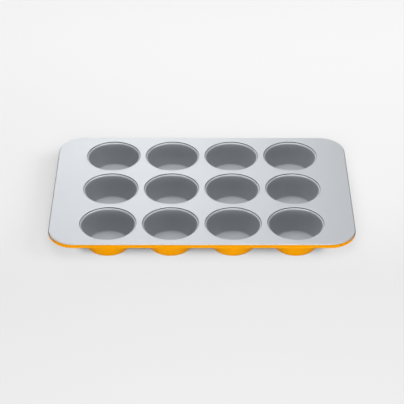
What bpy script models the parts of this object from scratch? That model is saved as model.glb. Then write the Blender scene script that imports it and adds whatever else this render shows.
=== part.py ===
"""A twelve-cup muffin tin: a pressed top plate, twelve drawn cups hooked under it, and a rim wire.

Metres, +Z up. The origin is in the middle of the footprint, on the plane that the cups stand on. +X runs
along the tin's length and +Y towards its back.
"""

import math

import bmesh
import bpy
from mathutils import Vector

# Whole tin
TIN_HEIGHT = 0.0330        # from the cups' undersides to the plate's top
COLUMNS = 4
ROW_NAMES = ("front", "middle", "back")
GAP = 0.0003               # between any two pieces that seat on each other

# Top plate
PLATE_SHEET = 0.0006       # sheet thickness
HOLE_DIAMETER = 0.074      # inside the collar
LAND_X = 0.0080            # plate between two holes, along X
LAND_Y = 0.0080            # plate between two holes, along Y
LAND_END = 0.0400          # plate from the last hole to each end
LAND_SIDE = 0.0110         # plate from the last hole to the front and back edges
CORNER_RADIUS = 0.0350     # of the plate's outline
EDGE_BEND = 0.0015         # outer radius of the bend into the skirt
SKIRT_WALL = 0.0028        # upright part of the skirt, between its bend and its curl
CURL_SWEEP = 250.0         # degrees that the skirt's lower edge turns round the wire
COLLAR_BEND = 0.0007       # upper radius of the bend into each hole's collar
COLLAR_LIP = 0.0002        # upright part of the collar, below its bend

# Cups
CUP_SHEET = 0.0006         # sheet thickness
LEDGE = 0.0003             # flat ring of the cup that shows inside the collar
SHOULDER_RADIUS = 0.0020   # where the ledge rolls over into the wall
FLOOR_DIAMETER = 0.052     # flat part of the floor
FLOOR_FILLET = 0.0022      # inside radius between floor and wall
HOOK_BEND = 0.0002         # inside radius where the ledge turns up round the collar

# Rim wire
WIRE_DIAMETER = 0.0024
WIRE_BUTT = 0.0005         # between the wire's two ends, in the middle of the back

# Facets
ROUND_STEPS = 20           # round a hole or a cup
BEND_STEPS = 2             # along a small bend
CORNER_STEPS = 6           # round one corner of the outline
CURL_STEPS = 8             # round the wire

# Worked out from the sizes above
HOLE_RADIUS = HOLE_DIAMETER / 2
PITCH_X = HOLE_DIAMETER + LAND_X
PITCH_Y = HOLE_DIAMETER + LAND_Y
HALF_LENGTH = (COLUMNS - 1) * PITCH_X / 2 + HOLE_RADIUS + LAND_END
HALF_WIDTH = (len(ROW_NAMES) - 1) * PITCH_Y / 2 + HOLE_RADIUS + LAND_SIDE
CURL_RADIUS = WIRE_DIAMETER / 2 + GAP + PLATE_SHEET
CURL_Z = TIN_HEIGHT - EDGE_BEND - SKIRT_WALL
COLLAR_Z = TIN_HEIGHT - COLLAR_BEND - COLLAR_LIP
LEDGE_Z = COLLAR_Z - GAP
MOUTH_RADIUS = HOLE_RADIUS - LEDGE
HOOK_RADIUS = HOLE_RADIUS + PLATE_SHEET + GAP
HOOK_TOP_Z = TIN_HEIGHT - max(COLLAR_BEND, PLATE_SHEET + GAP)


def clear_scene():
    for thing in list(bpy.data.objects):
        bpy.data.objects.remove(thing, do_unlink=True)


def make_material(name, colour, roughness, metallic):
    """A Principled material of one finish."""
    material = bpy.data.materials.new(name)
    material.use_nodes = True
    shader = material.node_tree.nodes["Principled BSDF"]
    shader.inputs["Base Color"].default_value = (*colour, 1.0)
    shader.inputs["Roughness"].default_value = roughness
    shader.inputs["Metallic"].default_value = metallic
    return material


def arc(centre, radius, start, end, steps):
    """Points along an arc in a profile's plane. Angles are in degrees, 0 is outwards and 90 is up."""
    points = []
    for step in range(steps + 1):
        angle = math.radians(start + (end - start) * step / steps)
        points.append((centre[0] + radius * math.cos(angle), centre[1] + radius * math.sin(angle)))
    return points


def circle_loop(bm, centre, radius, z):
    """A level circle of vertices round a cup's or a hole's axis."""
    loop = []
    for step in range(ROUND_STEPS):
        angle = math.tau * step / ROUND_STEPS
        x = centre[0] + radius * math.cos(angle)
        y = centre[1] + radius * math.sin(angle)
        loop.append(bm.verts.new((x, y, z)))
    return loop


def outline_points(inset, z):
    """The plate's rounded outline, drawn in by inset, anticlockwise from the middle of its back."""
    radius = CORNER_RADIUS - inset
    middle_x = HALF_LENGTH - CORNER_RADIUS
    middle_y = HALF_WIDTH - CORNER_RADIUS
    corners = ((-middle_x, middle_y, 90), (-middle_x, -middle_y, 180),
               (middle_x, -middle_y, 270), (middle_x, middle_y, 360))
    points = []
    for corner_x, corner_y, start in corners:
        for x, y in arc((corner_x, corner_y), radius, start, start + 90, CORNER_STEPS):
            points.append(Vector((x, y, z)))
    return points


def outline_loop(bm, inset, z):
    return [bm.verts.new(point) for point in outline_points(inset, z)]


def bridge(bm, first, second):
    """Quads between two loops that have the same number of vertices."""
    count = len(first)
    for index in range(count):
        after = (index + 1) % count
        bm.faces.new((first[index], first[after], second[after], second[index]))


def bridge_all(bm, loops):
    for first, second in zip(loops, loops[1:]):
        bridge(bm, first, second)


def fill_land(bm, loops):
    """The flat sheet between the outline and the holes."""
    edges = []
    for loop in loops:
        for index, vertex in enumerate(loop):
            after = loop[(index + 1) % len(loop)]
            edges.append(bm.edges.get((vertex, after)) or bm.edges.new((vertex, after)))
    bmesh.ops.triangle_fill(bm, edges=edges, use_beauty=True)


def make_mesh(name, bm):
    """Turns a closed shape's faces outwards and writes it to a mesh."""
    bmesh.ops.recalc_face_normals(bm, faces=bm.faces)
    mesh = bpy.data.meshes.new(name)
    bm.to_mesh(mesh)
    bm.free()
    mesh.shade_smooth()
    mesh.set_sharp_from_angle(angle=math.radians(50))
    return mesh


def place(name, data, material, parent, location=(0, 0, 0)):
    """One named piece, hung on the tin's empty."""
    piece = bpy.data.objects.new(name, data)
    piece.location = location
    piece.parent = parent
    if not data.materials:
        data.materials.append(material)
    bpy.context.scene.collection.objects.link(piece)
    return piece


def cup_places():
    """Each cup's name and the middle of its mouth."""
    places = []
    for row, row_name in enumerate(ROW_NAMES):
        y = (row - (len(ROW_NAMES) - 1) / 2) * PITCH_Y
        for column in range(COLUMNS):
            x = (column - (COLUMNS - 1) / 2) * PITCH_X
            places.append((f"cup_{row_name}_{column + 1}", x, y))
    return places


# Profiles. Each one is a skin of a sheet: depth 0 is its upper or outer skin, and the sheet's own
# thickness is its under or inner skin.

def collar_profile(depth):
    """(radius, z) from the plate's land down the inside of a hole."""
    centre = (HOLE_RADIUS + COLLAR_BEND, TIN_HEIGHT - COLLAR_BEND)
    points = arc(centre, COLLAR_BEND - depth, 90, 180, BEND_STEPS)
    points.append((HOLE_RADIUS + depth, COLLAR_Z))
    return points


def skirt_profile(depth):
    """(inset, z) from the plate's land over its edge, down the skirt and round the wire."""
    points = []
    for out, z in arc((0, TIN_HEIGHT - EDGE_BEND), EDGE_BEND - depth, 90, 0, BEND_STEPS):
        points.append((EDGE_BEND - out, z))
    for out, z in arc((0, CURL_Z), CURL_RADIUS - depth, 0, -CURL_SWEEP, CURL_STEPS):
        points.append((CURL_RADIUS - out, z))
    return points


def wall_angle():
    """Degrees from upright of the straight wall that touches both the floor's and the mouth's bends."""
    run = MOUTH_RADIUS - FLOOR_DIAMETER / 2
    rise = (LEDGE_Z - SHOULDER_RADIUS) - (CUP_SHEET + FLOOR_FILLET)
    lean = math.asin((SHOULDER_RADIUS + FLOOR_FILLET) / math.hypot(run, rise))
    return math.degrees(math.atan2(run, rise) - lean)


def cup_profile(depth):
    """(radius, z) from the floor's edge up the wall, over the shoulder and up round the collar."""
    taper = wall_angle()
    floor_centre = (FLOOR_DIAMETER / 2, CUP_SHEET + FLOOR_FILLET)
    shoulder_centre = (MOUTH_RADIUS, LEDGE_Z - SHOULDER_RADIUS)
    hook_centre = (HOOK_RADIUS - HOOK_BEND, LEDGE_Z + HOOK_BEND)
    points = arc(floor_centre, FLOOR_FILLET + depth, -90, -taper, BEND_STEPS)
    points += arc(shoulder_centre, SHOULDER_RADIUS - depth, 180 - taper, 90, BEND_STEPS)
    points += arc(hook_centre, HOOK_BEND + depth, -90, 0, 1)
    points.append((HOOK_RADIUS + depth, HOOK_TOP_Z))
    return points


# Pieces

def build_top_plate(parent, material):
    """The pressed plate: land, twelve collared holes, and a skirt whose edge is rolled inwards."""
    bm = bmesh.new()
    holes = [(x, y) for _, x, y in cup_places()]
    last_skirt = []
    last_collars = [[] for _ in holes]
    for depth in (0, PLATE_SHEET):
        skirt = [outline_loop(bm, inset, z) for inset, z in skirt_profile(depth)]
        bridge_all(bm, skirt)
        last_skirt.append(skirt[-1])
        land = [skirt[0]]
        for index, hole in enumerate(holes):
            collar = [circle_loop(bm, hole, radius, z) for radius, z in collar_profile(depth)]
            bridge_all(bm, collar)
            last_collars[index].append(collar[-1])
            land.append(collar[0])
        fill_land(bm, land)
    bridge(bm, *last_skirt)
    for upper, under in last_collars:
        bridge(bm, upper, under)
    return place("top_plate", make_mesh("top_plate", bm), material, parent)


def build_cup_mesh():
    """One drawn cup, with its axis on Z."""
    bm = bmesh.new()
    lips = []
    for depth in (0, CUP_SHEET):
        skin = [circle_loop(bm, (0, 0), radius, z) for radius, z in cup_profile(depth)]
        bridge_all(bm, skin)
        bm.faces.new(skin[0])
        lips.append(skin[-1])
    bridge(bm, *lips)
    return make_mesh("cup", bm)


def build_cups(parent, material):
    mesh = build_cup_mesh()
    for name, x, y in cup_places():
        place(name, mesh, material, parent, (x, y, 0))


def build_rim_wire(parent, material):
    """The stiffening wire inside the curl, bent to a ring whose ends butt in the middle of the back."""
    curve = bpy.data.curves.new("rim_wire", "CURVE")
    curve.dimensions = "3D"
    curve.bevel_depth = WIRE_DIAMETER / 2
    curve.bevel_resolution = 2
    curve.use_fill_caps = True
    back = HALF_WIDTH - CURL_RADIUS
    points = [Vector((-WIRE_BUTT / 2, back, CURL_Z))]
    points += outline_points(CURL_RADIUS, CURL_Z)
    points.append(Vector((WIRE_BUTT / 2, back, CURL_Z)))
    spline = curve.splines.new("POLY")
    spline.points.add(len(points) - 1)
    for target, point in zip(spline.points, points):
        target.co = (*point, 1.0)
    return place("rim_wire", curve, material, parent)


def main():
    clear_scene()
    tin = bpy.data.objects.new("muffin_tin", None)
    bpy.context.scene.collection.objects.link(tin)
    coating = make_material("grey_coating", (0.52, 0.54, 0.56), 0.38, 0.35)
    enamel = make_material("orange_enamel", (0.90, 0.33, 0.01), 0.30, 0.0)
    steel = make_material("wire_steel", (0.55, 0.55, 0.55), 0.35, 1.0)
    build_top_plate(tin, coating)
    build_cups(tin, enamel)
    build_rim_wire(tin, steel)


main()
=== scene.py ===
import math

import bmesh
import bpy
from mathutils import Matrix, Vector


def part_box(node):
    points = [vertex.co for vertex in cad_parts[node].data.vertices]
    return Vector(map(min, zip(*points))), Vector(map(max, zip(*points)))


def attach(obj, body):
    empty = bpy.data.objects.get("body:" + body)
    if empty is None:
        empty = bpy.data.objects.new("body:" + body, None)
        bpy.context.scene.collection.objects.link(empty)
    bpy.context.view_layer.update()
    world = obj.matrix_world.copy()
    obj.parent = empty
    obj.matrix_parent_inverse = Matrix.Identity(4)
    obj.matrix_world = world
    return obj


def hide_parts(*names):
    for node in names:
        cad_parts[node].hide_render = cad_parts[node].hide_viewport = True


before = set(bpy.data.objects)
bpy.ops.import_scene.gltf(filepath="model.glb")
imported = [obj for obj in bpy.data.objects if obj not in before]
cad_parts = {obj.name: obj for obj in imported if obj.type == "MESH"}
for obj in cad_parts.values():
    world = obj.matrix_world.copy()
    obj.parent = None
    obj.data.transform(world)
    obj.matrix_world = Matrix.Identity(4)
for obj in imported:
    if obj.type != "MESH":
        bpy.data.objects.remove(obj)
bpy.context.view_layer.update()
print("frame loaded:", len(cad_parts), "nodes")


def micron(value):
    # equal for positions that differ only by rounding
    return round(value, 6)


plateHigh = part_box("top_plate")[1]
topZ = plateHigh.z
halfLength = plateHigh.x
halfWidth = plateHigh.y

cupPlaces = {}
for cupName in sorted(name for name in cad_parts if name.startswith("cup_")):
    cupLow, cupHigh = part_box(cupName)
    cupPlaces[cupName] = ((cupLow.x + cupHigh.x) / 2, (cupLow.y + cupHigh.y) / 2)
# all the cups are one size
cupReach = (cupHigh.x - cupLow.x) / 2          # radius outside the hook under the plate
hookTop = cupHigh.z
columns = sorted({micron(x) for x, y in cupPlaces.values()})
rows = sorted({micron(y) for x, y in cupPlaces.values()})
pitchX = columns[1] - columns[0]
pitchY = rows[1] - rows[0]
print("cups at pitch", micron(pitchX), micron(pitchY))


class Signal:
    # wraps the output of a node; arithmetic on it adds Math nodes to the same graph
    def __init__(self, graph, socket):
        self.graph = graph
        self.socket = socket

    def other(self, name):
        return Signal(self.graph, self.socket.node.outputs[name])

    def calc(self, operation, first, second):
        return self.graph.add("ShaderNodeMath", {"operation": operation}, {0: first, 1: second})

    def __add__(self, value):
        return self.calc("ADD", self, value)

    def __radd__(self, value):
        return self.calc("ADD", value, self)

    def __sub__(self, value):
        return self.calc("SUBTRACT", self, value)

    def __rsub__(self, value):
        return self.calc("SUBTRACT", value, self)

    def __mul__(self, value):
        return self.calc("MULTIPLY", self, value)

    def __rmul__(self, value):
        return self.calc("MULTIPLY", value, self)

    def __abs__(self):
        return self.graph.add("ShaderNodeMath", {"operation": "ABSOLUTE"}, {0: self})


class Graph:
    # the nodes of one material or world
    def __init__(self, owner):
        owner.use_nodes = True
        self.tree = owner.node_tree
        self.tree.nodes.clear()

    def add(self, kind, settings=None, inputs=None, output=0):
        # settings are set first, because some of them change the sockets
        node = self.tree.nodes.new(kind)
        for name, value in (settings or {}).items():
            setattr(node, name, value)
        for key, value in (inputs or {}).items():
            if isinstance(value, Signal):
                self.tree.links.new(value.socket, node.inputs[key])
            else:
                node.inputs[key].default_value = value
        return Signal(self, node.outputs[output]) if node.outputs else None

    def mixColour(self, factor, first, second):
        return self.add("ShaderNodeMix", {"data_type": "RGBA"}, {0: factor, 6: first, 7: second}, 2)

    def mixShader(self, factor, first, second):
        return self.add("ShaderNodeMixShader", {}, {0: factor, 1: first, 2: second})

    def fade(self, value, low, high):
        # 0 at low, 1 at high, smooth between them; low may be the greater one
        return self.add("ShaderNodeMapRange", {"interpolation_type": "SMOOTHSTEP"},
                        {"Value": value, "From Min": low, "From Max": high})

    def noise(self, place, scale, detail):
        return self.add("ShaderNodeTexNoise", {}, {"Vector": place, "Scale": scale, "Detail": detail})

    def bump(self, height, strength, distance):
        return self.add("ShaderNodeBump", {},
                        {"Strength": strength, "Distance": distance, "Height": height})


middle = 0.5                  # of what a noise gives


def newMaterial(name):
    material = bpy.data.materials.new(name)
    return material, Graph(material)


def endMaterial(graph, shader):
    graph.add("ShaderNodeOutputMaterial", {}, {"Surface": shader})


def colour(red, green, blue):
    return (red, green, blue, 1.0)


def surfacePlace(graph):
    # each piece's own coordinates, shifted so that no two cups look the same
    local = graph.add("ShaderNodeTexCoord", output="Object")
    centre = graph.add("ShaderNodeObjectInfo", output="Location")
    return graph.add("ShaderNodeVectorMath", {"operation": "ADD"}, {0: local, 1: centre})


def depthBelowTop(graph, place):
    return topZ - graph.add("ShaderNodeSeparateXYZ", {}, {"Vector": place}, "Z")


# The grey non-stick coat. A pair for a noise is its scale per metre and its detail,
# and a pair for a bump is its strength and distance.
greyCoat = {
    "flake": 3800.0,          # flakes per metre
    "flakeShare": 0.45,       # shares of the coat's tone
    "grain": (1500.0, 3.0),
    "grainShare": 0.25,
    "cloud": (14.0, 4.0),
    "cloudShare": 0.30,
    "cloudRoughness": 0.10,
    "flakeRoughness": 0.06,
    "peel": (900.0, 2.0),     # waves of the sprayed surface
    "peelHeight": 0.6,
    "grainHeight": 0.4,
    "bump": (0.10, 0.0002),
    "leastRubAndHighlight": 0.5,          # how rubbed the least worn place is
    "rubPolish": 0.12,        # how much smoother a rubbed place is
    "rubMetal": 0.35,         # how much more of the metal it shows
}

# Each rub band, worn bright and partly a painted highlight, is a pair of depths below the top: where it
# starts, and where it is full.
plateCoat = {
    "light": (0.55, 0.577, 0.603),
    "dark": (0.485, 0.508, 0.532),
    "wornAndHighlight": (0.66, 0.68, 0.70),
    "metallic": 0.30,
    "roughness": 0.42,
    "rubAndHighlightBands": [(0.00002, 0.00025)],
}

# The cups' coat is darker than the plate's, as painted shade inside the cups.
cupCoat = {
    "light": (0.415, 0.437, 0.463),
    "dark": (0.365, 0.384, 0.408),
    "wornAndHighlight": (0.63, 0.655, 0.68),
    "metallic": 0.0,
    "roughness": 0.50,
    # on the cups the band is a painted highlight on the shoulder, below the ledge
    "rubAndHighlightBands": [(0.0034, 0.0018), (0.0011, 0.0015)],      # up from the wall, and down from the ledge
}


def greyShader(graph, coat):
    place = surfacePlace(graph)
    flakes = graph.add("ShaderNodeTexVoronoi", {"feature": "F1"},
                       {"Vector": place, "Scale": greyCoat["flake"]}, "Color")
    flake = graph.add("ShaderNodeSeparateColor", {}, {"Color": flakes})
    grain = graph.noise(place, *greyCoat["grain"])
    cloud = graph.noise(place, *greyCoat["cloud"])
    tone = greyCoat["flakeShare"] * flake + greyCoat["grainShare"] * grain
    tone = tone + greyCoat["cloudShare"] * cloud
    paint = graph.mixColour(tone, colour(*coat["dark"]), colour(*coat["light"]))
    # rubbed thin and bright along the bends, more in some places; the brighter colour is partly a
    # painted highlight, most of all on the cups' shoulders
    depth = depthBelowTop(graph, place)
    rubAndHighlight = greyCoat["leastRubAndHighlight"] + cloud
    for start, full in coat["rubAndHighlightBands"]:
        rubAndHighlight = rubAndHighlight * graph.fade(depth, start, full)
    paint = graph.mixColour(rubAndHighlight, paint, colour(*coat["wornAndHighlight"]))
    roughness = coat["roughness"] + greyCoat["cloudRoughness"] * (cloud - middle)
    roughness = roughness + greyCoat["flakeRoughness"] * (flake - middle)
    roughness = roughness - greyCoat["rubPolish"] * rubAndHighlight
    metallic = coat["metallic"] + greyCoat["rubMetal"] * rubAndHighlight
    peel = graph.noise(place, *greyCoat["peel"])
    height = greyCoat["peelHeight"] * peel + greyCoat["grainHeight"] * grain
    return graph.add("ShaderNodeBsdfPrincipled", {}, {
        "Base Color": paint, "Roughness": roughness, "Metallic": metallic,
        "Normal": graph.bump(height, *greyCoat["bump"]),
    })


orangeCoat = {
    "light": (1.0, 0.40, 0.0),
    "dark": (0.97, 0.355, 0.0),
    "cloud": (22.0, 4.0),
    "cloudShare": 0.7,
    "cloudRoughness": 0.08,
    "speck": (1800.0, 2.0),
    "speckShare": 0.3,
    "speckRoughness": 0.05,
    "roughness": 0.36,
    "gloss": 0.04,
    "sheen": (1.0, 0.40, 0.0),
    "peel": (520.0, 2.0),
    "bump": (0.14, 0.0003),
    "bounce": (0.38, 0.38, 0.38),      # its colour in the light that it throws on its surroundings
    "patchNoise": {"Scale": 80.0, "Detail": 7.0, "Roughness": 0.65, "Distortion": 1.0},
    "patchFade": (0.46, 0.74),
    "footTone": (0.72, 0.27, 0.015),
    "footRoughness": 0.20,
    "footBand": (0.0014, 0.0002),      # heights above the table: where the darker patches start, and are full
}


def orangeShader(graph):
    place = surfacePlace(graph)
    cloud = graph.noise(place, *orangeCoat["cloud"])
    speck = graph.noise(place, *orangeCoat["speck"])
    tone = orangeCoat["cloudShare"] * cloud + orangeCoat["speckShare"] * speck
    enamel = graph.mixColour(tone, colour(*orangeCoat["dark"]), colour(*orangeCoat["light"]))
    # darker and rougher orange in patches on the lowest 1.4 mm of the cups, by the table
    height = graph.add("ShaderNodeSeparateXYZ", {}, {"Vector": place}, "Z")
    patchNoise = graph.add("ShaderNodeTexNoise", {}, {"Vector": place, **orangeCoat["patchNoise"]})
    nearFoot = graph.fade(height, *orangeCoat["footBand"])
    footPatches = nearFoot * graph.fade(patchNoise, *orangeCoat["patchFade"])
    enamel = graph.mixColour(footPatches, enamel, colour(*orangeCoat["footTone"]))
    bounced = graph.add("ShaderNodeLightPath", output="Is Diffuse Ray")
    roughness = orangeCoat["roughness"] + orangeCoat["cloudRoughness"] * (cloud - middle)
    roughness = roughness + orangeCoat["speckRoughness"] * (speck - middle)
    roughness = roughness + orangeCoat["footRoughness"] * footPatches
    peel = graph.noise(place, *orangeCoat["peel"])
    return graph.add("ShaderNodeBsdfPrincipled", {}, {
        "Base Color": graph.mixColour(bounced, enamel, colour(*orangeCoat["bounce"])),
        "Roughness": roughness, "Metallic": 0.0, "Specular IOR Level": orangeCoat["gloss"],
        "Specular Tint": colour(*orangeCoat["sheen"]), "Normal": graph.bump(peel, *orangeCoat["bump"]),
    })


# painted shade: a near-black finish in the seam between collar and cup, where there is only shade, also
# used on the plate's bend at the two ends
seamShade = {
    "light": (0.060, 0.058, 0.056),
    "dark": (0.012, 0.012, 0.013),
    "mottle": (1100.0, 4.0),
    "mottleRoughness": 0.2,
    "roughness": 0.70,
    "gloss": 0.2,
    "bump": (0.3, 0.0001),
    "collarBand": (0.00010, 0.00035),      # depths below the top: where it starts, and is full
}


def seamShadeShader(graph):
    mottle = graph.noise(surfacePlace(graph), *seamShade["mottle"])
    return graph.add("ShaderNodeBsdfPrincipled", {}, {
        "Base Color": graph.mixColour(mottle, colour(*seamShade["dark"]), colour(*seamShade["light"])),
        "Roughness": seamShade["roughness"] + seamShade["mottleRoughness"] * (mottle - middle),
        "Metallic": 0.0, "Specular IOR Level": seamShade["gloss"],
        "Normal": graph.bump(mottle, *seamShade["bump"]),
    })


def makePlateGrey():
    material, graph = newMaterial("plateCoating")
    depth = depthBelowTop(graph, surfacePlace(graph))
    # painted shade on the lower part of each collar's bend, at the seam
    collar = graph.fade(depth, *seamShade["collarBand"])
    endMaterial(graph, graph.mixShader(collar, greyShader(graph, plateCoat), seamShadeShader(graph)))
    return material


def makeCupGrey():
    material, graph = newMaterial("cupCoating")
    endMaterial(graph, greyShader(graph, cupCoat))
    return material


def makeSeamShade():
    material, graph = newMaterial("seamShadePaint")
    endMaterial(graph, seamShadeShader(graph))
    return material


def makeOrange():
    material, graph = newMaterial("orangeEnamel")
    endMaterial(graph, orangeShader(graph))
    return material


# The lower edge of the grey coat, on the bend into the skirt. Each band is a pair of
# distances from the tin's two ends: where it starts, and where it is full.
coatEdge = {
    "angle": 33,              # degrees above level where the coat ends on the bend
    "blur": 0.00016,
    "waver": (400.0, 3.0),
    "waverShare": 0.4,        # of the blur
    "endDrop": 0.0007,        # how much lower the coat ends round the two ends
    "dropBand": (0.013, 0.003),
    "endShadeBand": (0.006, 0.001),
    "endShadeDepth": (0.00025, 0.00060),      # below the top: where it starts, and is full
}


def makeCoatEdge(edgeZ):
    # grey over orange, ending lower round the two ends, where the bend is painted near-black as shade
    material, graph = newMaterial("coatEdge")
    place = surfacePlace(graph)
    x = graph.add("ShaderNodeSeparateXYZ", {}, {"Vector": place}, "X")
    fromEnd = halfLength - abs(x)
    blur = coatEdge["blur"]
    waver = graph.noise(place, *coatEdge["waver"])
    line = x.other("Z") + coatEdge["endDrop"] * graph.fade(fromEnd, *coatEdge["dropBand"])
    line = line + coatEdge["waverShare"] * blur * (waver - middle)
    grey = graph.fade(line, edgeZ - blur / 2, edgeZ + blur / 2)
    # painted shade: the bend turns near-black towards the two ends
    endShade = graph.fade(fromEnd, *coatEdge["endShadeBand"])
    endShade = endShade * graph.fade(depthBelowTop(graph, place), *coatEdge["endShadeDepth"])
    coat = graph.mixShader(endShade, greyShader(graph, plateCoat), seamShadeShader(graph))
    endMaterial(graph, graph.mixShader(grey, orangeShader(graph), coat))
    return material


wireSteel = {
    "light": (0.60, 0.60, 0.60),
    "dark": (0.44, 0.44, 0.45),
    "streak": (900.0, 3.0),
    "streakShare": 0.5,
    "cloud": (60.0, 3.0),
    "cloudShare": 0.5,
    "cloudRoughness": 0.15,
    "roughness": 0.30,
    "bump": (0.15, 0.0001),
}


def makeSteel():
    material, graph = newMaterial("drawnSteel")
    place = surfacePlace(graph)
    streak = graph.noise(place, *wireSteel["streak"])
    cloud = graph.noise(place, *wireSteel["cloud"])
    tone = wireSteel["streakShare"] * streak + wireSteel["cloudShare"] * cloud
    endMaterial(graph, graph.add("ShaderNodeBsdfPrincipled", {}, {
        "Base Color": graph.mixColour(tone, colour(*wireSteel["dark"]), colour(*wireSteel["light"])),
        "Roughness": wireSteel["roughness"] + wireSteel["cloudRoughness"] * (cloud - middle),
        "Metallic": 1.0, "Normal": graph.bump(streak, *wireSteel["bump"]),
    }))
    return material


def arcPoints(centre, radius, start, end, steps):
    # degrees: 0 points outwards and 90 points up
    points = []
    for step in range(steps + 1):
        angle = math.radians(start + (end - start) * step / steps)
        points.append((centre[0] + radius * math.cos(angle), centre[1] + radius * math.sin(angle)))
    return points


def between(first, last, steps):
    # the points that part a straight line into equal steps, without its ends
    points = []
    for step in range(1, steps):
        share = step / steps
        x = first[0] + (last[0] - first[0]) * share
        y = first[1] + (last[1] - first[1]) * share
        points.append((x, y))
    return points


def ringAt(bm, centre, radius, z, count):
    ring = []
    for step in range(count):
        angle = math.tau * step / count
        x = centre[0] + radius * math.cos(angle)
        y = centre[1] + radius * math.sin(angle)
        ring.append(bm.verts.new((x, y, z)))
    return ring


def joinRings(bm, rings, finish):
    # quads between closed rings of one count
    for first, second in zip(rings, rings[1:]):
        for index in range(len(first)):
            after = (index + 1) % len(first)
            face = bm.faces.new((first[index], first[after], second[after], second[index]))
            face.material_index = finish


sharpAngle = 40               # degrees; edges over it are shaded sharp


def addPiece(name, bm, materials, node, place=(0, 0, 0)):
    bmesh.ops.recalc_face_normals(bm, faces=bm.faces)
    mesh = bpy.data.meshes.new(name)
    bm.to_mesh(mesh)
    bm.free()
    mesh.shade_smooth()
    mesh.set_sharp_from_angle(angle=math.radians(sharpAngle))
    for material in materials:
        mesh.materials.append(material)
    piece = bpy.data.objects.new(name, mesh)
    piece.location = place
    bpy.context.scene.collection.objects.link(piece)
    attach(piece, "root")
    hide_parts(node)
    return piece


# places in a piece's list of materials
greyFinish = 0
orangeFinish = 1
edgeFinish = 2                # the plate's bend into its skirt
seamFinish = 2                # a cup's ledge and hook

plateSizes = {
    "sheet": 0.0006,
    "edgeBend": 0.0015,       # outer radius of the bend into the skirt
    "skirtWall": 0.0028,
    "curlRadius": 0.0021,     # outer radius of the edge rolled round the wire
    "curlSweep": 250,
    "cornerRadius": 0.0350,
    "collarBend": 0.0007,
    "collarLip": 0.0002,
    "holeSide": 24,           # steps along each side of the cell round a hole
    "cornerSteps": 24,
    "bendSteps": 8,
    "curlSteps": 24,
    "support": 0.0004,        # from a bend to the first loop on the flat
}

cupSizes = {
    "sheet": 0.0006,
    "clearance": 0.0003,
    "ledge": 0.0003,
    "shoulder": 0.0020,
    "floorRadius": 0.026,
    "floorRings": (0.06, 0.35, 0.7, 0.97),     # shares of the floor's radius
    "floorFillet": 0.0022,
    "hookBend": 0.0002,
    "hookRings": 6,           # rings after the shoulder, over the ledge to the hook's top
    "roundSteps": 96,
    "bendSteps": 8,
    "wallSteps": 8,
}

holeRadius = cupReach - cupSizes["sheet"] - cupSizes["clearance"] - plateSizes["sheet"]
cornerX = halfLength - plateSizes["cornerRadius"]
cornerY = halfWidth - plateSizes["cornerRadius"]
stepsAlong = plateSizes["holeSide"] * len(columns)
stepsAcross = plateSizes["holeSide"] * len(rows)
print("hole radius", micron(holeRadius))


def outlineAt(inset):
    # the plate's outline, anticlockwise from the start of its front right corner
    radius = plateSizes["cornerRadius"] - inset
    steps = plateSizes["cornerSteps"]
    sideways = stepsAcross - 2 * steps
    arcs = [arcPoints((cornerX, -cornerY), radius, 270, 360, steps),
            arcPoints((cornerX, cornerY), radius, 0, 90, steps),
            arcPoints((-cornerX, cornerY), radius, 90, 180, steps),
            arcPoints((-cornerX, -cornerY), radius, 180, 270, steps)]
    nextArcs = arcs[1:] + arcs[:1]
    points = []
    for arc, nextArc, straight in zip(arcs, nextArcs, 2 * (sideways, stepsAlong)):
        points += arc + between(arc[-1], nextArc[0], straight)
    return points


def cellFrame():
    # the rectangle round all the cells, in step with outlineAt
    halfX = pitchX * len(columns) / 2
    halfY = pitchY * len(rows) / 2
    corners = [(halfX, -halfY), (halfX, halfY), (-halfX, halfY), (-halfX, -halfY)]
    nextCorners = corners[1:] + corners[:1]
    points = []
    for corner, nextCorner, straight in zip(corners, nextCorners, 2 * (stepsAcross, stepsAlong)):
        points += [corner] + between(corner, nextCorner, straight)
    return points


def landSkin(bm, z, finish):
    # one flat skin of the sheet; returns its outline loop and its hole loops
    shared = {}

    def sharedVertex(x, y):
        key = (micron(x), micron(y))
        if key not in shared:
            shared[key] = bm.verts.new((x, y, z))
        return shared[key]

    side = plateSizes["holeSide"]
    count = side * 4
    collarRadius = holeRadius + plateSizes["collarBend"]
    holeLoops = []
    for x, y in cupPlaces.values():
        cell = []
        for step in range(count):
            # from the middle of the cell's right side, anticlockwise
            turn = (step + side // 2) % count
            part = turn // side
            share = (turn % side) / side * 2 - 1
            offset = [(1, share), (-share, 1), (-1, -share), (share, -1)][part]
            cell.append(sharedVertex(x + offset[0] * pitchX / 2, y + offset[1] * pitchY / 2))
        inner = ringAt(bm, (x, y), collarRadius, z, count)
        support = ringAt(bm, (x, y), collarRadius + plateSizes["support"], z, count)
        joinRings(bm, [inner, support, cell], finish)
        holeLoops.append(inner)
    rings = [[sharedVertex(x, y) for x, y in cellFrame()]]
    for inset in (plateSizes["edgeBend"] + plateSizes["support"], plateSizes["edgeBend"]):
        rings.append([bm.verts.new((x, y, z)) for x, y in outlineAt(inset)])
    joinRings(bm, rings, finish)
    return rings[-1], holeLoops


def skirtProfile(depth):
    # (inset, z) from the flat over the edge, down the skirt and round the wire
    bend = plateSizes["edgeBend"]
    curl = plateSizes["curlRadius"]
    sweep = plateSizes["curlSweep"]
    bendZ = topZ - bend
    curlZ = bendZ - plateSizes["skirtWall"]
    overEdge = arcPoints((0, bendZ), bend - depth, 90, 0, plateSizes["bendSteps"])
    roundWire = arcPoints((0, curlZ), curl - depth, 0, -sweep, plateSizes["curlSteps"])
    return [(bend - out, z) for out, z in overEdge] + [(curl - out, z) for out, z in roundWire]


def collarProfile(depth):
    # (radius, z) from the flat down into a hole
    bend = plateSizes["collarBend"]
    points = arcPoints((holeRadius + bend, topZ - bend), bend - depth, 90, 180, plateSizes["bendSteps"])
    points.append((holeRadius + depth, topZ - bend - plateSizes["collarLip"]))
    return points


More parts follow.
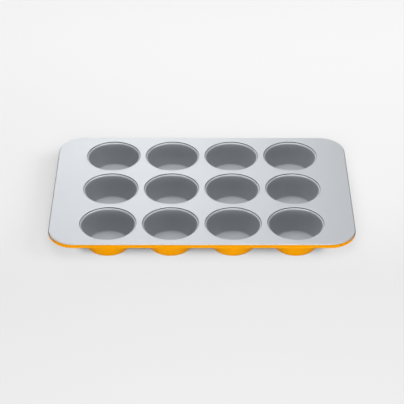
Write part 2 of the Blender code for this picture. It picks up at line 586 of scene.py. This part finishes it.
def buildPlate(materials):
    bm = bmesh.new()
    skirtEnds = []
    collarEnds = [[] for _ in cupPlaces]
    count = plateSizes["holeSide"] * 4
    bendEnd = plateSizes["bendSteps"] + 1
    for depth, finish in ((0, greyFinish), (plateSizes["sheet"], orangeFinish)):
        outline, holes = landSkin(bm, topZ - depth, finish)
        skirt = [outline]
        for inset, z in skirtProfile(depth)[1:]:
            skirt.append([bm.verts.new((x, y, z)) for x, y in outlineAt(inset)])
        joinRings(bm, skirt[:bendEnd], edgeFinish if depth == 0 else orangeFinish)
        joinRings(bm, skirt[bendEnd - 1:], orangeFinish)
        skirtEnds.append(skirt[-1])
        for index, centre in enumerate(cupPlaces.values()):
            collar = [holes[index]]
            for radius, z in collarProfile(depth)[1:]:
                collar.append(ringAt(bm, centre, radius, z, count))
            joinRings(bm, collar, finish)
            collarEnds[index].append(collar[-1])
    joinRings(bm, skirtEnds, orangeFinish)
    for ends in collarEnds:
        joinRings(bm, ends, orangeFinish)
    return addPiece("topPlate", bm, materials, "top_plate")


def cupProfile(depth):
    # (radius, z) from the middle of the floor, up the wall, over the ledge and up the hook
    shoulder = cupSizes["shoulder"]
    fillet = cupSizes["floorFillet"]
    hookBend = cupSizes["hookBend"]
    steps = cupSizes["bendSteps"]
    ledgeZ = topZ - plateSizes["collarBend"] - plateSizes["collarLip"] - cupSizes["clearance"]
    hookRadius = holeRadius + plateSizes["sheet"] + cupSizes["clearance"]
    footCentre = (cupSizes["floorRadius"], cupSizes["sheet"] + fillet)
    shoulderCentre = (holeRadius - cupSizes["ledge"], ledgeZ - shoulder)
    hookCentre = (hookRadius - hookBend, ledgeZ + hookBend)
    # the wall runs straight from one arc to the other
    run = shoulderCentre[0] - footCentre[0]
    rise = shoulderCentre[1] - footCentre[1]
    lean = math.asin((shoulder + fillet) / math.hypot(run, rise))
    taper = math.degrees(math.atan2(run, rise) - lean)
    floorZ = cupSizes["sheet"] - depth
    points = [(cupSizes["floorRadius"] * share, floorZ) for share in cupSizes["floorRings"]]
    points += arcPoints(footCentre, fillet + depth, -90, -taper, steps)
    shoulderArc = arcPoints(shoulderCentre, shoulder - depth, 180 - taper, 90, steps)
    points += between(points[-1], shoulderArc[0], cupSizes["wallSteps"])
    points += shoulderArc
    # the bend has one ring more than it has steps, and the hook's top is the last ring
    points += arcPoints(hookCentre, hookBend + depth, -90, 0, cupSizes["hookRings"] - 2)
    points.append((hookRadius + depth, hookTop))
    return points


def buildCup(node, place, materials):
    bm = bmesh.new()
    count = cupSizes["roundSteps"]
    ends = []
    for depth, finish in ((0, greyFinish), (cupSizes["sheet"], orangeFinish)):
        rings = [ringAt(bm, (0, 0), radius, z, count) for radius, z in cupProfile(depth)]
        ledge = len(rings) - 1 - cupSizes["hookRings"]
        joinRings(bm, rings[:ledge + 1], finish)
        # the ledge and hook take the near-black seam finish, painted shade in the gap under the collar
        joinRings(bm, rings[ledge:], seamFinish if depth == 0 else finish)
        bm.faces.new(rings[0]).material_index = finish
        ends.append(rings[-1])
    joinRings(bm, ends, orangeFinish)
    row, number = node.split("_")[1:]
    return addPiece(f"cup{row.title()}{number}", bm, materials, node, (*place, 0))


wireSizes = {
    "diameter": 0.0024,
    "butt": 0.0005,           # between the two ends, in the middle of the back
    "roundSteps": 16,
}


def wirePath():
    # once round the plate, from one side of the butt joint to the other
    loop = outlineAt(plateSizes["curlRadius"])
    back = max(y for x, y in loop)
    gap = wireSizes["butt"] / 2
    start = min(index for index, (x, y) in enumerate(loop) if y == back and x < -gap)
    path = [(-gap, back)]
    path += [(x, y) for x, y in loop[start:] + loop[:start] if y < back or abs(x) > gap]
    path.append((gap, back))
    return path


def buildWire(material):
    bm = bmesh.new()
    z = topZ - plateSizes["edgeBend"] - plateSizes["skirtWall"]
    radius = wireSizes["diameter"] / 2
    path = wirePath()
    rings = []
    for index, (x, y) in enumerate(path):
        before = path[max(index - 1, 0)]
        after = path[min(index + 1, len(path) - 1)]
        heading = math.atan2(after[1] - before[1], after[0] - before[0])
        outX = math.sin(heading)
        outY = -math.cos(heading)
        section = arcPoints((0, z), radius, 0, 360, wireSizes["roundSteps"])[:-1]
        rings.append([bm.verts.new((x + out * outX, y + out * outY, up)) for out, up in section])
    joinRings(bm, rings, 0)
    bm.faces.new(rings[0])
    bm.faces.new(rings[-1])
    return addPiece("rimWire", bm, [material], "rim_wire")


orange = makeOrange()
plateGrey = makePlateGrey()
cupGrey = makeCupGrey()
seamDark = makeSeamShade()
coatEndZ = topZ - plateSizes["edgeBend"] * (1 - math.sin(math.radians(coatEdge["angle"])))
tinPieces = [buildPlate([plateGrey, orange, makeCoatEdge(coatEndZ)])]
print("top plate built")
for cupName, cupPlace in cupPlaces.items():
    tinPieces.append(buildCup(cupName, cupPlace, [cupGrey, orange, seamDark]))
print("cups built:", len(cupPlaces))
tinPieces.append(buildWire(makeSteel()))
print("rim wire built")


# The paper that the tin stands on. A pair of distances runs from the tin's middle, away
# from the camera or sideways: where something starts, and where it is full.
paperSheet = {
    "z": -0.0002,
    "size": 30.0,
    "near": (0.775, 0.775, 0.775),
    "far": (0.985, 0.985, 0.985),
    "farFrom": (-0.20, 0.60),
    "roughness": 0.9,
    "grain": (700.0, 3.0),
    "bump": (0.05, 0.0002),
    "glow": 0.55,             # share of it that is seen evenly lit
    "frontGlow": 0.30,        # added to that in front of the tin
    "frontFrom": (-0.08, -0.12),
    "frontBeside": (0.08, -0.18),
    "underGlow": 0.55,        # taken off it under the tin
    "underFrom": (-0.115, -0.085),
    "underTo": (0.160, 0.100),
    "besideFrom": (0.150, 0.185),
    "besideShift": 0.035,     # how much further back all this is beside the cups
}


def makePaper():
    material, graph = newMaterial("studioPaper")
    place = graph.add("ShaderNodeTexCoord", output="Object")
    away = graph.add("ShaderNodeSeparateXYZ", {}, {"Vector": place}, "Y")
    # painted shade: the paper is darker towards the front
    far = graph.fade(away, *paperSheet["farFrom"])
    tone = graph.mixColour(far, colour(*paperSheet["near"]), colour(*paperSheet["far"]))
    grain = graph.noise(place, *paperSheet["grain"])
    lit = graph.add("ShaderNodeBsdfPrincipled", {}, {
        "Base Color": tone, "Roughness": paperSheet["roughness"], "Specular IOR Level": 0.0,
        "Normal": graph.bump(grain, *paperSheet["bump"]),
    })
    even = graph.add("ShaderNodeEmission", {}, {"Color": tone, "Strength": 1.0})
    ray = graph.add("ShaderNodeLightPath", output="Is Camera Ray")
    seen = graph.fade(ray + ray.other("Is Glossy Ray") + ray.other("Is Transmission Ray"), 0, 1)
    # less of the even light under the tin, where the contact shadow is, and more in front
    beside = graph.fade(abs(away.other("X")), *paperSheet["besideFrom"])
    along = away - paperSheet["besideShift"] * beside
    under = graph.fade(along, *paperSheet["underFrom"]) * graph.fade(along, *paperSheet["underTo"])
    under = under * (1 - beside)
    frontNear = graph.fade(along, *paperSheet["frontFrom"])
    frontBeside = graph.fade(away, *paperSheet["frontBeside"])
    front = frontNear + (frontBeside - frontNear) * beside
    glow = paperSheet["glow"] + paperSheet["frontGlow"] * front - paperSheet["underGlow"] * under
    endMaterial(graph, graph.mixShader(glow * seen, lit, even))
    return material


def makeFloor():
    half = paperSheet["size"] / 2
    corners = [(-half, -half, 0), (half, -half, 0), (half, half, 0), (-half, half, 0)]
    mesh = bpy.data.meshes.new("floor")
    mesh.from_pydata(corners, [], [(0, 1, 2, 3)])
    mesh.materials.append(makePaper())
    floor = bpy.data.objects.new("floor", mesh)
    floor.location = (0, 0, paperSheet["z"])
    bpy.context.scene.collection.objects.link(floor)
    return floor


sky = {
    "overhead": 0.01,
    "horizon": 0.03,
    "horizonHeight": 0.45,    # sine of the elevation where the horizon's light ends
}


def makeWorld():
    # faint overhead, brighter towards the horizon all round
    world = bpy.data.worlds.new("softLight")
    bpy.context.scene.world = world
    graph = Graph(world)
    direction = graph.add("ShaderNodeTexCoord", output="Generated")
    height = graph.add("ShaderNodeSeparateXYZ", {}, {"Vector": direction}, "Z")
    rise = graph.fade(height, 0.0, sky["horizonHeight"])
    level = sky["horizon"] + (sky["overhead"] - sky["horizon"]) * rise
    background = graph.add("ShaderNodeBackground", {}, {"Color": colour(1, 1, 1), "Strength": level})
    graph.add("ShaderNodeOutputWorld", {}, {"Surface": background})


# name: place, point aimed at, size, level it adds on a facing surface at the tin
tinLamps = {
    "overheadLeft": ((-0.6, 0.45, 2.0), (0, 0, 0), (1.0, 1.0), 0.36),
    "overheadRight": ((0.6, 0.45, 2.0), (0, 0, 0), (1.0, 1.0), 0.40),
    "overheadFront": ((0.0, -1.5, 1.8), (0, 0, 0), (1.0, 0.6), 0.12),
    "overheadNear": ((0.0, 0.15, 0.9), (0, 0, 0), (0.5, 0.5), 0.10),
    "back": ((0.0, 1.1, 0.8), (0, 0, 0.03), (0.6, 0.5), 0.11),
    "backLeft": ((-0.5, 1.0, 0.65), (-0.1, 0.05, 0.03), (0.5, 0.5), 0.07),
    "backLow": ((-0.15, 0.85, 0.50), (0, 0.1, 0.03), (0.5, 0.3), 0.11),
    "front": ((0.0, -2.6, 0.35), (0, 0, 0.02), (1.4, 0.5), 0.13),
    "frontLow": ((0.0, -2.6, 0.20), (0, 0, 0.02), (2.6, 0.2), 0.17),
}

paperLamps = {
    "paperNear": ((0.0, -0.9, 0.7), (0, 0, 0), (0.5, 0.5), 0.74),
    "paperFront": ((0.0, -1.0, 1.8), (0, 0, 0), (0.9, 0.9), 0.34),
    "paperRight": ((2.2, -1.0, 1.95), (0, 0, 0), (1.5, 1.5), 0.70),
    "paperBack": ((-0.7, 1.6, 1.6), (-0.2, 0.2, 0), (1.2, 1.0), 0.23),
}


def lightGroup(name, members):
    group = bpy.data.collections.new(name)
    for member in members:
        group.objects.link(member)
    return group


def addSoftbox(name, place, aim, size, level, group):
    # lights only what is in the group, and everything shades it
    lamp = bpy.data.lights.new(name, "AREA")
    lamp.shape = "RECTANGLE"
    lamp.size, lamp.size_y = size
    toward = Vector(aim) - Vector(place)
    lamp.energy = level * math.pi ** 2 * toward.length_squared
    box = bpy.data.objects.new(name, lamp)
    box.location = place
    box.rotation_euler = toward.to_track_quat("-Z", "Y").to_euler()
    box.visible_camera = False
    box.light_linking.receiver_collection = group
    bpy.context.scene.collection.objects.link(box)


cameraSetup = {
    "aim": (0.00015, -0.0327),         # point looked at, on the level of the plate's top
    "distance": 2.0422,
    "elevation": 34.217,      # degrees
    "angle": 15.035,          # degrees across the view
}


def makeCamera():
    data = bpy.data.cameras.new("camera")
    data.angle = math.radians(cameraSetup["angle"])
    camera = bpy.data.objects.new("camera", data)
    elevation = math.radians(cameraSetup["elevation"])
    x, y = cameraSetup["aim"]
    away = cameraSetup["distance"] * math.cos(elevation)
    above = cameraSetup["distance"] * math.sin(elevation)
    camera.location = (x, y - away, topZ + above)
    camera.rotation_euler = (math.pi / 2 - elevation, 0, 0)
    bpy.context.scene.collection.objects.link(camera)
    bpy.context.scene.camera = camera


paper = lightGroup("paper", [makeFloor()])
tin = lightGroup("tin", tinPieces)
makeWorld()
for lamps, group in ((tinLamps, tin), (paperLamps, paper)):
    for lampName, lampValues in lamps.items():
        addSoftbox(lampName, *lampValues, group)
makeCamera()
bpy.context.scene.view_settings.view_transform = "Standard"
print("studio ready")
